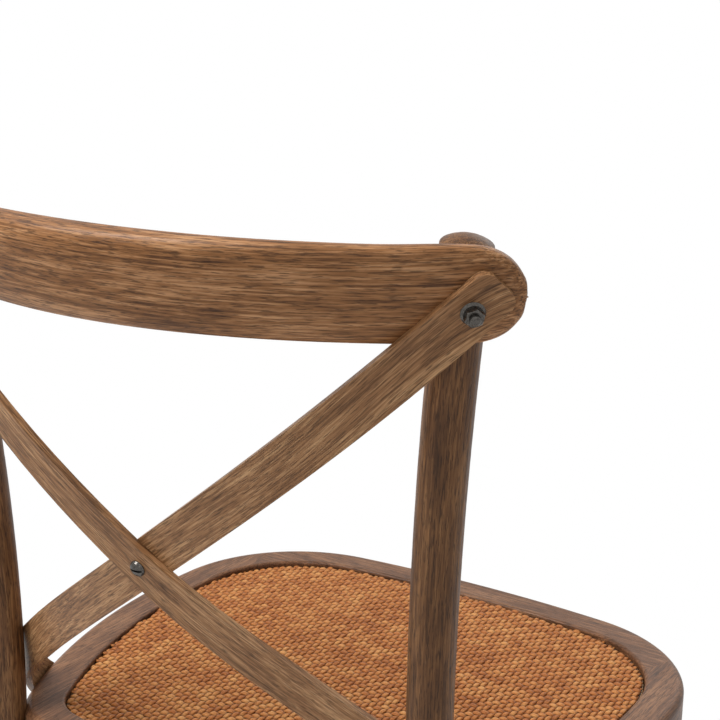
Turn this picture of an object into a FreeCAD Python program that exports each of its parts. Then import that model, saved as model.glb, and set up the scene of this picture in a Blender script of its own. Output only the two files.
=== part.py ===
import FreeCAD, Part
import math
import os
import Sketcher
from FreeCAD import Placement, Rotation, Vector

# Cross back dining chair, in millimetres. +Z is up, the sitter faces -Y and +X is the sitter's left.
# The origin lies on the floor, under the centre of the chair's bounding box.

doc = FreeCAD.newDocument("cross_back_chair")

# Driving dimensions. Plan places of the seat are measured from the seat's own centre.
SIZES = {
    # Seat frame
    "seat_height": 470.0,
    "seat_setback": 58.0,
    "seat_thickness": 32.0,
    "seat_width": 468.4,
    "seat_widest_place": -50.0,
    "seat_side_radius": 490.0,
    "seat_front_reach": 212.4,
    "seat_front_radius": 1100.0,
    "seat_front_corner": 125.5,
    "seat_rear_reach": 215.0,
    "seat_rear_radius": 700.0,
    "seat_rear_corner": 69.0,
    "rim_width": 30.0,
    "ledge_width": 30.0,
    "recess_depth": 14.0,
    "seat_top_round": 6.5,
    "seat_bottom_round": 5.0,
    "rim_inner_round": 2.5,
    "front_joint_half_width": 188.0,
    "front_joint_place": -135.0,
    "rear_joint_half_width": 118.0,
    "rear_joint_place": 178.0,
    "joint_flare": 0.36,
    "joint_reach_out": 260.0,
    "joint_reach_in": 50.0,
    "dowel_radius": 4.0,
    "dowel_length": 34.0,
    "dowel_spacing": 24.0,
    "front_dowel_place": -111.0,
    "rear_dowel_place": 178.0,
    # Board and woven panel
    "board_thickness": 9.0,
    "panel_clearance": 1.2,
    "panel_middle_thickness": 8.5,
    "panel_crown_radius": 4200.0,
    # Rear legs, each one bent piece from the floor to its domed top
    "leg_seat_half_spread": 181.5,
    "leg_seat_place": 190.5,
    "leg_top_height": 878.3,
    "leg_top_half_spread": 210.55,
    "leg_top_place": 219.5,
    "leg_foot_half_spread": 203.0,
    "leg_foot_place": 250.5,
    "post_spread_slope": -10.94,
    "post_place_slope": 7.99,
    "leg_seat_radius": 14.5,
    "leg_top_radius": 15.4,
    "leg_foot_radius": 12.5,
    "leg_dome_height": 5.0,
    "leg_dome_round": 1.6,
    "leg_dome_drop": 1.5,
    # Front legs
    "front_leg_inset": 22.0,
    "front_leg_angle": 47.0,
    "front_leg_top_radius": 18.0,
    "front_leg_foot_radius": 13.0,
    "tenon_radius": 10.0,
    "tenon_length": 16.0,
    "tenon_chamfer": 1.0,
    "shoulder_chamfer": 2.0,
    "foot_chamfer": 1.5,
    # Crest rail
    "crest_drop": 31.3,
    "crest_radius": 335.0,
    "crest_middle_place": 310.6,
    "crest_tilt": 15.5,
    "crest_half_height": 29.5,
    "crest_middle_thickness": 24.0,
    "crest_end_thickness": 16.0,
    "crest_half_length": 269.0,
    "crest_end_round": 33.0,
    "crest_thinning_share": 0.72,
    "crest_upper_roundness": 1.95,
    "crest_lower_roundness": 2.35,
    "crest_edge_bluntness": 3.0,
    # Cross slats
    "slat_width": 29.2,
    "slat_thickness": 5.2,
    "slat_corner_radius": 8.0,
    "slat_fit_gap": 0.3,
    "slat_rail_gap": 0.5,
    "slat_seat_gap": 0.6,
    "crossing_drop": 202.3,
    "crossing_place": 246.5,
    "back_lean": 14.3,
    "slat_top_fall": 0.97,
    "slat_crossing_fall": 0.76,
    "slat_crossing_span": 170.0,
    "slat_untwist": 2.06,
    "slat_pass_rise": 42.2,
    "slat_pass_heading": -28.3,
    "slat_pass_fall": 0.76,
    "slat_leg_gap": 1.7,
    "slat_contact_place": 123.1,
    "slat_contact_drop": 14.6,
    "slat_screw_drop": 19.0,
    "slat_foot_fall": 0.74,
    "slat_top_end": 22.5,
    "slat_foot_length": 6.0,
    "slat_foot_end": 12.0,
    # Crest bolts, flange nuts and the crossing screw
    "bolt_rise": 1.0,
    "bolt_radius": 3.0,
    "bolt_clearance": 0.3,
    "bolt_head_radius": 7.0,
    "bolt_head_height": 3.4,
    "bolt_head_seat": 2.2,
    "bolt_tail": 2.6,
    "nut_flats": 10.0,
    "nut_height": 6.0,
    "nut_flange_radius": 7.1,
    "nut_flange_height": 1.4,
    "cross_screw_radius": 2.5,
    "cross_head_radius": 5.6,
    "cross_head_height": 3.2,
    "cross_slot_width": 1.4,
    "cross_nut_radius": 5.0,
    "cross_nut_height": 2.2,
    # Wood screws and leg bolts
    "screw_radius": 2.2,
    "screw_head_radius": 4.4,
    "screw_head_height": 2.6,
    "screw_length": 20.0,
    "foot_screw_head_radius": 5.0,
    "leg_bolt_radius": 3.5,
    "leg_bolt_head_radius": 7.5,
    "leg_bolt_head_height": 3.0,
    "leg_bolt_grip": 32.0,
    "thread_gap": 0.1,
    "leg_bolt_sink": 2.0,
    # Bentwood arches under the seat
    "arch_width": 22.0,
    "arch_thickness": 11.0,
    "arch_bend_radius": 88.0,
    "arch_edge_round": 2.5,
    "arch_drop": 138.0,
    "side_arch_drop": 170.0,
    "arch_leg_gap": 0.2,
    "arch_screw_rise": 14.0,
    "arch_seat_screw_half_spacing": 58.0,
    # Glides
    "glide_height": 4.0,
    "glide_margin": 2.5,
    "glide_pin_radius": 1.4,
    "glide_pin_length": 12.0,
    # Screws that hold the board
    "front_board_screw_half_spread": 130.0,
    "rear_board_screw_half_spread": 92.0,
    "board_screw_inset": 48.0,
    "board_screw_length": 22.0,
}

sheet = doc.addObject("Spreadsheet::Sheet", "sizes")
for row, (alias, value) in enumerate(SIZES.items(), start=1):
    sheet.set("A%d" % row, alias.replace("_", " "))
    sheet.set("B%d" % row, str(value))
    sheet.setAlias("B%d" % row, alias)
doc.recompute()


def size(alias):
    """The value that the sheet holds under this alias."""
    return float(sheet.get(alias))


SEAT_TOP = size("seat_height")
SEAT_BOTTOM = SEAT_TOP - size("seat_thickness")
SEAT_Y = -size("seat_setback")
UP = Vector(0, 0, 1)


# Small helpers for making document objects

def bind(thing, **cells):
    """Bind properties of a document object to expressions on the sheet."""
    for name, expression in cells.items():
        thing.setExpression(name, expression)
    return thing


def at(thing, point, direction=UP):
    """Put an object at a point, with its own Z axis along the direction."""
    thing.Placement = Placement(point, Rotation(UP, direction))
    return thing


def cut(name, base, *tools):
    """The base with every tool cut away."""
    result = base
    for number, tool in enumerate(tools):
        step = doc.addObject("Part::Cut", "%s_cut_%d" % (name, number))
        step.Base = result
        step.Tool = tool
        result = step
    result.Label = name
    return result


def common(name, base, tool):
    """What the two objects share."""
    result = doc.addObject("Part::Common", name)
    result.Base = base
    result.Tool = tool
    result.Label = name
    return result


def group(name, members):
    """Separate solids that share one node."""
    result = doc.addObject("Part::Compound", name)
    result.Links = members
    result.Label = name
    return result


def fused(name, members):
    """Members joined to one solid."""
    result = doc.addObject("Part::MultiFuse", name)
    result.Shapes = members
    result.Label = name
    return result


def mirrored(name, thing):
    """The same piece on the other side of the chair's middle plane."""
    result = doc.addObject("Part::Mirroring", name)
    result.Source = thing
    result.Normal = Vector(1, 0, 0)
    result.Base = Vector(0, 0, 0)
    result.Label = name
    return result


def drill(name, point, direction, radius, length, back="0"):
    """A cylinder that starts `back` behind the point and runs along the direction."""
    tool = doc.addObject("Part::Cylinder", name)
    bind(tool, Radius=radius, Height="(%s) + (%s)" % (length, back))
    doc.recompute()
    behind = float(tool.Height) - evaluate(length)
    return at(tool, point - direction * behind, direction)


def evaluate(expression):
    """The number that an expression of sheet aliases gives."""
    return float(sheet.evalExpression(expression.replace("sizes.", "")))


def origin_plane(body, role):
    """The body's own origin plane with this role."""
    return next(plane for plane in body.Origin.OriginFeatures if plane.Role == role)


def sketch_on(body, name, role):
    """A sketch on one of the body's origin planes."""
    sketch = body.newObject("Sketcher::SketchObject", name)
    sketch.AttachmentSupport = [(origin_plane(body, role), "")]
    sketch.MapMode = "FlatFace"
    return sketch


def turned_body(name, profile):
    """A body turned about its Z axis from corners given as (radius, height) expressions."""
    body = doc.addObject("PartDesign::Body", name)
    body.Label = name
    sketch = sketch_on(body, name + "_profile", "XZ_Plane")
    corners = [Vector(evaluate(radius), evaluate(height), 0) for radius, height in profile]
    count = len(corners)
    for number in range(count):
        sketch.addGeometry(Part.LineSegment(corners[number], corners[(number + 1) % count]), False)
    for number in range(count):
        sketch.addConstraint(Sketcher.Constraint("Coincident", number, 2, (number + 1) % count, 1))
    for number, (radius, height) in enumerate(profile):
        for kind, expression, value in (("DistanceX", radius, corners[number].x),
                                        ("DistanceY", height, corners[number].y)):
            if expression == "0":
                axis = -2 if kind == "DistanceX" else -1
                sketch.addConstraint(Sketcher.Constraint("PointOnObject", number, 1, axis))
            else:
                place = sketch.addConstraint(Sketcher.Constraint(kind, -1, 1, number, 1, value))
                sketch.setExpression("Constraints[%d]" % place, expression)
    turned = body.newObject("PartDesign::Revolution", name + "_turned")
    turned.Profile = sketch
    turned.ReferenceAxis = (sketch, ["V_Axis"])
    turned.Angle = 360.0
    sketch.Visibility = False
    return body


# Seat outline: eight tangent arcs, worked out on the right half and mirrored

def blend_centre(centre_a, radius_a, centre_b, radius_b, radius):
    """Centre of the circle that touches two larger circles from inside, on the +X side."""
    reach_a = radius_a - radius
    reach_b = radius_b - radius
    apart = centre_b - centre_a
    distance = apart.Length
    along = (reach_a ** 2 - reach_b ** 2 + distance ** 2) / (2 * distance)
    across = math.sqrt(reach_a ** 2 - along ** 2)
    ahead = apart / distance
    side = Vector(-ahead.y, ahead.x, 0)
    options = [centre_a + ahead * along + side * across, centre_a + ahead * along - side * across]
    return max(options, key=lambda point: point.x)


def bearing(start, end):
    """Angle of the direction from one point to another, in the plan."""
    return math.atan2(end.y - start.y, end.x - start.x)


SIDE = Vector(size("seat_width") / 2 - size("seat_side_radius"), size("seat_widest_place"), 0)
FRONT = Vector(0, size("seat_front_radius") - size("seat_front_reach"), 0)
REAR = Vector(0, size("seat_rear_reach") - size("seat_rear_radius"), 0)
FRONT_CORNER = blend_centre(FRONT, size("seat_front_radius"), SIDE, size("seat_side_radius"),
                            size("seat_front_corner"))
REAR_CORNER = blend_centre(REAR, size("seat_rear_radius"), SIDE, size("seat_side_radius"),
                           size("seat_rear_corner"))
FRONT_TURN = bearing(FRONT, FRONT_CORNER)
SIDE_TURN = bearing(SIDE, FRONT_CORNER)
SIDE_END = bearing(SIDE, REAR_CORNER)
REAR_TURN = bearing(REAR, REAR_CORNER)


def flipped(point):
    """The point mirrored to the other side."""
    return Vector(-point.x, point.y, point.z)


# Each arc: centre, radius alias, start angle, end angle, all anticlockwise
OUTLINE = [
    (FRONT, "seat_front_radius", -math.pi - FRONT_TURN, FRONT_TURN),
    (FRONT_CORNER, "seat_front_corner", FRONT_TURN, SIDE_TURN),
    (SIDE, "seat_side_radius", SIDE_TURN, SIDE_END),
    (REAR_CORNER, "seat_rear_corner", SIDE_END, REAR_TURN),
    (REAR, "seat_rear_radius", REAR_TURN, math.pi - REAR_TURN),
    (flipped(REAR_CORNER), "seat_rear_corner", math.pi - REAR_TURN, math.pi - SIDE_END),
    (flipped(SIDE), "seat_side_radius", math.pi - SIDE_END, math.pi - SIDE_TURN),
    (flipped(FRONT_CORNER), "seat_front_corner", math.pi - SIDE_TURN, math.pi - FRONT_TURN),
]
# Centres that the sheet fixes: centre, X expression, Y expression
FIXED_CENTRES = [
    (FRONT, "0", "sizes.seat_front_radius - sizes.seat_front_reach"),
    (SIDE, "sizes.seat_width / 2 - sizes.seat_side_radius", "sizes.seat_widest_place"),
    (REAR, "0", "sizes.seat_rear_reach - sizes.seat_rear_radius"),
    (flipped(SIDE), "sizes.seat_side_radius - sizes.seat_width / 2", "sizes.seat_widest_place"),
]


def add_outline(sketch, inset):
    """Add the seat's outline, drawn in by the inset expression, as constrained tangent arcs."""
    first = sketch.GeometryCount
    drawn_in = evaluate(inset)
    for centre, alias, start, end in OUTLINE:
        circle = Part.Circle(centre, UP, size(alias) - drawn_in)
        sketch.addGeometry(Part.ArcOfCircle(circle, start, end), False)
    count = len(OUTLINE)
    for number in range(count):
        after = first + (number + 1) % count
        sketch.addConstraint(Sketcher.Constraint("Tangent", first + number, 2, after, 1))
    for number, (centre, alias, start, end) in enumerate(OUTLINE):
        bend = sketch.addConstraint(Sketcher.Constraint("Radius", first + number, size(alias) - drawn_in))
        sketch.setExpression("Constraints[%d]" % bend, "sizes.%s - (%s)" % (alias, inset))
    centres = [arc[0] for arc in OUTLINE]
    for centre, across, along in FIXED_CENTRES:
        number = centres.index(centre)
        if across == "0":
            sketch.addConstraint(Sketcher.Constraint("PointOnObject", first + number, 3, -2))
        else:
            place = sketch.addConstraint(
                Sketcher.Constraint("DistanceX", -1, 1, first + number, 3, centre.x))
            sketch.setExpression("Constraints[%d]" % place, across)
        place = sketch.addConstraint(Sketcher.Constraint("DistanceY", -1, 1, first + number, 3, centre.y))
        sketch.setExpression("Constraints[%d]" % place, along)


def outline_pad(name, insets, height, length):
    """A body padded from one or two nested seat outlines, with its underside at a height."""
    body = doc.addObject("PartDesign::Body", name)
    body.Label = name
    sketch = sketch_on(body, name + "_outline", "XY_Plane")
    for inset in insets:
        add_outline(sketch, inset)
    pad = body.newObject("PartDesign::Pad", name + "_pad")
    pad.Profile = sketch
    bind(pad, Length=length)
    sketch.Visibility = False
    body.setExpression("Placement.Base.y", "-sizes.seat_setback")
    body.setExpression("Placement.Base.z", height)
    return body


def edges_where(feature, test):
    """Names of the feature's edges whose every vertex and middle passes the test."""
    names = []
    for number, edge in enumerate(feature.Shape.Edges, start=1):
        middle = edge.valueAt((edge.FirstParameter + edge.LastParameter) / 2)
        points = [vertex.Point for vertex in edge.Vertexes] + [middle]
        if all(test(point) for point in points):
            names.append("Edge%d" % number)
    return names


def inset_of(point):
    """How far inside the seat's outline a plan point lies, measured on the nearest of its arcs."""
    spans = []
    for centre, alias, start, end in OUTLINE:
        turn = (bearing(centre, point) - start) % (2 * math.pi)
        if turn <= end - start + 0.001 or turn >= 2 * math.pi - 0.001:
            spans.append(size(alias) - math.hypot(point.x - centre.x, point.y - centre.y))
    return min(spans, key=abs)


def rounded(body, name, radius, test):
    """A fillet on the edges of the body's tip that pass the test."""
    doc.recompute()
    base = body.Tip
    fillet = body.newObject("PartDesign::Fillet", name)
    fillet.Base = (base, edges_where(base, test))
    bind(fillet, Radius=radius)
    return fillet


# Seat frame: a ring with a recess for the panel, sawn into four jointed rails

ring = outline_pad("seat_ring", ("0", "sizes.rim_width + sizes.ledge_width"),
                   "sizes.seat_height - sizes.seat_thickness", "sizes.seat_thickness")
recess_sketch = sketch_on(ring, "recess_outline", "XY_Plane")
recess_sketch.setExpression("AttachmentOffset.Base.z", "sizes.seat_thickness")
add_outline(recess_sketch, "sizes.rim_width")
doc.recompute()
ring_volume = ring.Shape.Volume
recess = ring.newObject("PartDesign::Pocket", "recess")
recess.Profile = recess_sketch
bind(recess, Length="sizes.recess_depth")
recess_sketch.Visibility = False
doc.recompute()
if ring.Shape.Volume > ring_volume - 1.0:
    raise RuntimeError("the recess cut nothing from the seat ring")

THICK = size("seat_thickness")
NEAR = 0.5


def on_outline(point, height, inset):
    """True for a point of the ring at this height and inset."""
    return abs(point.z - height) < 0.01 and abs(inset_of(point) - inset) < NEAR


rounded(ring, "top_round", "sizes.seat_top_round", lambda point: on_outline(point, THICK, 0))
rounded(ring, "bottom_round", "sizes.seat_bottom_round", lambda point: on_outline(point, 0, 0))
rounded(ring, "rim_round", "sizes.rim_inner_round",
        lambda point: on_outline(point, THICK, size("rim_width")))

# The sawn joints are flat, and flare towards the outside of the seat

def joint_region(name, half_width, place, outward):
    """A wedge over the front (outward -1) or rear (outward 1) of the ring."""
    wedge = doc.addObject("Part::Wedge", name)
    near = "%s - %g * sizes.joint_reach_in" % (place, outward)
    far = "%g * sizes.joint_reach_out" % outward
    near_half = "(%s - sizes.joint_reach_in * sizes.joint_flare)" % half_width
    far_half = "(%s + sizes.joint_flare * (sizes.joint_reach_out - %g * %s))" % (half_width, outward, place)
    low, high = (far, near) if outward < 0 else (near, far)
    low_half, high_half = (far_half, near_half) if outward < 0 else (near_half, far_half)
    bind(wedge, Ymin=low, Ymax=high, Xmin="-" + low_half, Xmax=low_half,
         X2min="-" + high_half, X2max=high_half, Zmin="0", Z2min="0",
         Zmax="sizes.seat_thickness", Z2max="sizes.seat_thickness")
    wedge.Placement.Base = Vector(0, SEAT_Y, SEAT_BOTTOM)
    return wedge


front_region = joint_region("front_region", "sizes.front_joint_half_width", "sizes.front_joint_place", -1)
rear_region = joint_region("rear_region", "sizes.rear_joint_half_width", "sizes.rear_joint_place", 1)
left_region = doc.addObject("Part::Box", "left_region")
bind(left_region, Length="sizes.seat_width", Width="4 * sizes.seat_front_reach",
     Height="sizes.seat_thickness")
left_region.Placement.Base = Vector(0, SEAT_Y - 2 * size("seat_front_reach"), SEAT_BOTTOM)

front_blank = common("front_blank", ring, front_region)
rear_blank = common("rear_blank", ring, rear_region)
sides_blank = cut("sides_blank", ring, front_region, rear_region)
left_blank = common("left_blank", sides_blank, left_region)

# Dowels across each sawn joint, in the full thickness of the ledge
LEDGE_MIDDLE = SEAT_BOTTOM + (THICK - size("recess_depth")) / 2


def joint_dowels(name, outward):
    """Two dowels, square to the flat joint on the +X side."""
    flare = size("joint_flare")
    along = Vector(outward * flare, 1, 0).normalize() * outward
    across = Vector(1, -outward * flare, 0).normalize()
    place = size("%s_place" % name)
    start = size("%s_joint_place" % name[:-6])
    half_width = size("%s_joint_half_width" % name[:-6]) + outward * flare * (place - start)
    middle = Vector(half_width, SEAT_Y + place, LEDGE_MIDDLE)
    pins = []
    for number, side in enumerate((-0.5, 0.5)):
        pin = doc.addObject("Part::Cylinder", "%s_%d" % (name, number))
        bind(pin, Radius="sizes.dowel_radius", Height="sizes.dowel_length")
        centre = middle + along * (side * size("dowel_spacing"))
        pins.append(at(pin, centre - across * (size("dowel_length") / 2), across))
    return pins


left_pins = joint_dowels("front_dowel", -1) + joint_dowels("rear_dowel", 1)
right_pins = [mirrored(pin.Name + "_right", pin) for pin in left_pins]
seat_dowels = group("seat_dowels", left_pins + right_pins)

# Board and woven panel in the recess
board_blank = outline_pad("board_blank", ("sizes.rim_width + sizes.panel_clearance",),
                          "sizes.seat_height - sizes.recess_depth", "sizes.board_thickness")
panel_blank = outline_pad("panel_blank", ("sizes.rim_width + sizes.panel_clearance",),
                          "sizes.seat_height - sizes.recess_depth + sizes.board_thickness",
                          "2 * sizes.panel_middle_thickness")
crown = doc.addObject("Part::Sphere", "crown")
bind(crown, Radius="sizes.panel_crown_radius")
PANEL_TOP = SEAT_TOP - size("recess_depth") + size("board_thickness") + size("panel_middle_thickness")
crown.Placement.Base = Vector(0, SEAT_Y, PANEL_TOP - size("panel_crown_radius"))
rattan_panel = common("rattan_panel", panel_blank, crown)


# Rear legs: a loft through level circles along two parabolas that meet at the seat

def parabola(start, start_slope, end, share):
    """A value that leaves start with a slope and reaches end as share goes from 0 to 1."""
    return start + start_slope * share + (end - start - start_slope) * share ** 2


# The slopes are the change of place at the seat, per full length of the post above it
SPREAD_SLOPE = size("post_spread_slope")
PLACE_SLOPE = size("post_place_slope")
POST_LENGTH = size("leg_top_height") - SEAT_TOP
CREST_HEIGHT = size("leg_top_height") - size("crest_drop")
BOLT_HEIGHT = CREST_HEIGHT + size("bolt_rise")
CROSSING_HEIGHT = CREST_HEIGHT - size("crossing_drop")


def leg_centre(height):
    """Centre of the left rear leg at a height."""
    if height >= SEAT_TOP:
        share = (height - SEAT_TOP) / POST_LENGTH
        across = parabola(size("leg_seat_half_spread"), SPREAD_SLOPE, size("leg_top_half_spread"), share)
        along = parabola(size("leg_seat_place"), PLACE_SLOPE, size("leg_top_place"), share)
    else:
        share = (SEAT_TOP - height) / SEAT_TOP
        bend = SEAT_TOP / POST_LENGTH
        across = parabola(size("leg_seat_half_spread"), -SPREAD_SLOPE * bend,
                          size("leg_foot_half_spread"), share)
        along = parabola(size("leg_seat_place"), -PLACE_SLOPE * bend, size("leg_foot_place"), share)
    return Vector(across, along + SEAT_Y, height)


def leg_radius(height):
    """Radius of the rear leg at a height."""
    if height >= SEAT_TOP:
        share = (height - SEAT_TOP) / POST_LENGTH
        return size("leg_seat_radius") + (size("leg_top_radius") - size("leg_seat_radius")) * share
    share = (SEAT_TOP - height) / SEAT_TOP
    return size("leg_seat_radius") + (size("leg_foot_radius") - size("leg_seat_radius")) * share


LEG_SECTIONS = 13
GLIDE = size("glide_height")
sections = []
for number in range(LEG_SECTIONS):
    height = GLIDE + (size("leg_top_height") - GLIDE) * number / (LEG_SECTIONS - 1)
    section = doc.addObject("Part::Circle", "leg_section_%d" % number)
    section.Radius = leg_radius(height)
    section.Placement.Base = leg_centre(height)
    sections.append(section)
leg_loft = doc.addObject("Part::Loft", "leg_loft")
leg_loft.Sections = sections
leg_loft.Solid = True
leg_loft.Ruled = False
doc.recompute()

# The leg's top is a low dome: what stands above a sphere is cut away
TOP = leg_centre(size("leg_top_height"))
TOP_RADIUS = size("leg_top_radius")
TOP_AXIS = (TOP - leg_centre(size("leg_top_height") - TOP_RADIUS)).normalize()
DOME_RADIUS = (TOP_RADIUS ** 2 + size("leg_dome_height") ** 2) / (2 * size("leg_dome_height"))
DOME_CENTRE = TOP - TOP_AXIS * (DOME_RADIUS + size("leg_dome_drop"))
dome_block = doc.addObject("Part::Cylinder", "dome_block")
dome_block.Radius = 2 * TOP_RADIUS
dome_block.Height = 2 * TOP_RADIUS
at(dome_block, TOP - TOP_AXIS * TOP_RADIUS, TOP_AXIS)
dome_ball = doc.addObject("Part::Sphere", "dome_ball")
dome_ball.Radius = DOME_RADIUS
dome_ball.Placement.Base = DOME_CENTRE
dome_tool = cut("dome_tool", dome_block, dome_ball)
leg_domed = cut("leg_domed", leg_loft, dome_tool)
doc.recompute()
leg_blank = doc.addObject("Part::Fillet", "leg_blank")
leg_blank.Base = leg_domed
leg_blank.Edges = [(number, size("leg_dome_round"), size("leg_dome_round"))
                   for number, edge in enumerate(leg_domed.Shape.Edges, start=1)
                   if edge.BoundBox.ZMin > size("leg_top_height") - TOP_RADIUS
                   and edge.BoundBox.ZLength < TOP_RADIUS and edge.Length > 4 * TOP_RADIUS]
doc.recompute()

# Crest rail: a bowed board whose section is a rounded block, drawn in to nothing at the round ends

CREST_Y = SEAT_Y + size("crest_middle_place") - size("crest_radius")
TILT = math.radians(size("crest_tilt"))


def crest_normal(turn):
    """Direction square to the rail's rear face, at a turn about the rail's bending centre."""
    return Vector(math.sin(turn) * math.cos(TILT), math.cos(turn) * math.cos(TILT), -math.sin(TILT))


def crest_thickness(place):
    """Thickness at a place along the rail: full in the middle, thin towards the ends."""
    share = min(1.0, abs(place) / (size("crest_thinning_share") * size("crest_half_length")))
    easing = share * share * (3 - 2 * share)
    return size("crest_middle_thickness") + (size("crest_end_thickness")
                                             - size("crest_middle_thickness")) * easing


def end_curve(share, roundness):
    """Half height that is left at a share of the rounded end, from 1 at its start to 0 at the tip."""
    return size("crest_half_height") * (1 - share ** roundness) ** (1 / roundness)


def powered(value, power):
    """The value's magnitude raised to a power, with its sign kept."""
    return math.copysign(abs(value) ** power, value)


SECTION_POINTS = 20


def crest_section(place):
    """Closed curve of the rail's section at a place along its middle line."""
    turn = place / size("crest_radius")
    centre = Vector(size("crest_radius") * math.sin(turn),
                    CREST_Y + size("crest_radius") * math.cos(turn), CREST_HEIGHT)
    outward = crest_normal(turn)
    upward = Vector(math.sin(turn) * math.sin(TILT), math.cos(turn) * math.sin(TILT), math.cos(TILT))
    past = max(0.0, abs(place) - (size("crest_half_length") - size("crest_end_round")))
    share = past / size("crest_end_round")
    half_up = end_curve(share, size("crest_upper_roundness"))
    half_down = end_curve(share, size("crest_lower_roundness"))
    half_thick = crest_thickness(place) / 2 * (1 - share ** 9) ** (1 / 3)
    power = 2 / size("crest_edge_bluntness")
    points = []
    for number in range(SECTION_POINTS):
        angle = 2 * math.pi * number / SECTION_POINTS
        across = powered(math.cos(angle), power) * half_thick
        above = powered(math.sin(angle), power) * (half_up if math.sin(angle) > 0 else half_down)
        points.append(centre + outward * across + upward * above)
    curve = Part.BSplineCurve()
    curve.interpolate(Points=points, PeriodicFlag=True)
    first = curve.FirstParameter
    quarter = (curve.LastParameter - first) / 4
    return Part.Wire([curve.toShape(first + quarter * side, first + quarter * (side + 1))
                      for side in range(4)])


def crest_places():
    """Places of the sections: even along the rail, closer together round its ends."""
    straight = size("crest_half_length") - size("crest_end_round")
    middle = [straight * number / 6 for number in range(-6, 7)]
    tips = [straight + size("crest_end_round") * share for share in (0.3, 0.55, 0.75, 0.88, 0.96, 0.992)]
    return [-place for place in reversed(tips)] + middle + tips


crest_blank = doc.addObject("Part::Feature", "crest_blank")
crest_blank.Shape = Part.makeLoft([crest_section(place) for place in crest_places()], True, False)

# Crest bolts: each runs along the rail's normal through post, rail and slat

BOLT_POST = leg_centre(BOLT_HEIGHT)
BOLT_TURN = math.atan2(BOLT_POST.x, BOLT_POST.y - CREST_Y)
BOLT_AXIS = crest_normal(BOLT_TURN)
POST_REACH = math.hypot(BOLT_POST.x, BOLT_POST.y - CREST_Y)
RAIL_MIDDLE = (size("crest_radius") - POST_REACH + size("bolt_rise") * math.tan(TILT)) * math.cos(TILT)
BOLT_PLACE = BOLT_TURN * size("crest_radius")
SLAT_MIDDLE = (RAIL_MIDDLE + crest_thickness(BOLT_PLACE) / 2 + size("slat_rail_gap")
               + size("slat_thickness") / 2)
SLAT_BOLT = BOLT_POST + BOLT_AXIS * SLAT_MIDDLE

# Cross slats. The centre line is worked out for the slat whose foot is on the left (+X) side.

LEAN = math.radians(size("back_lean"))
HALF_SLAT = size("slat_thickness") / 2


def hermite(start, start_slope, end, end_slope, share):
    """Cubic from start to end with the given slopes, at a share from 0 to 1."""
    square = share * share
    cube = square * share
    return (start * (2 * cube - 3 * square + 1) + start_slope * (cube - 2 * square + share)
            + end * (3 * square - 2 * cube) + end_slope * (cube - square))


def heading(degrees):
    """Plan direction at an angle from +X."""
    return Vector(math.cos(math.radians(degrees)), math.sin(math.radians(degrees)), 0)


SIDE_CENTRE = SIDE + Vector(0, SEAT_Y, 0)
SLAT_SIDE_RADIUS = size("seat_side_radius") + size("slat_seat_gap") + HALF_SLAT
CONTACT_TURN = math.asin((size("slat_contact_place") - SIDE.y) / SLAT_SIDE_RADIUS)
FOOT_TURN = size("slat_foot_length") / SLAT_SIDE_RADIUS
END_TURN = size("slat_foot_end") / SLAT_SIDE_RADIUS


def beside_seat(turn):
    """Point of the slat's centre line beside the seat's side, at a turn about that side's centre."""
    return SIDE_CENTRE + Vector(math.cos(turn), math.sin(turn), 0) * SLAT_SIDE_RADIUS


def climbing(turn, fall, tilt):
    """Plan heading, in degrees, of a line that falls across a leaning face turned this far."""
    return math.degrees(turn - math.asin(fall * math.tan(tilt)))


# Heights of the slat beside the leg, where it meets the seat and at its foot screw
LEG_PASS_HEIGHT = SEAT_TOP + size("slat_pass_rise")
CONTACT_HEIGHT = SEAT_TOP - size("slat_contact_drop")
SCREW_HEIGHT = SEAT_TOP - size("slat_screw_drop")
TOP_FALL = size("slat_top_fall")
CROSSING_FALL = size("slat_crossing_fall")
FOOT_FALL = size("slat_foot_fall")
pass_normal = heading(size("slat_pass_heading") + 90)
leg_here = leg_centre(LEG_PASS_HEIGHT)
PASS_POINT = leg_here - pass_normal * (leg_radius(LEG_PASS_HEIGHT) + size("slat_leg_gap") + HALF_SLAT)

# Key points: plan point, plan direction, height, fall in height per unit of plan length
KEYS = [
    (Vector(-SLAT_BOLT.x, SLAT_BOLT.y, 0), heading(climbing(BOLT_TURN, TOP_FALL, TILT)),
     SLAT_BOLT.z, TOP_FALL),
    (Vector(0, size("crossing_place") + SEAT_Y, 0), heading(climbing(0, CROSSING_FALL, LEAN)),
     CROSSING_HEIGHT, CROSSING_FALL),
    (Vector(PASS_POINT.x, PASS_POINT.y, 0), heading(size("slat_pass_heading")),
     LEG_PASS_HEIGHT, size("slat_pass_fall")),
    (beside_seat(CONTACT_TURN), heading(math.degrees(CONTACT_TURN) - 90), CONTACT_HEIGHT, FOOT_FALL),
    (beside_seat(CONTACT_TURN - FOOT_TURN), heading(math.degrees(CONTACT_TURN - FOOT_TURN) - 90),
     SCREW_HEIGHT, FOOT_FALL),
]


SLAT_STEP = 18.0


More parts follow.
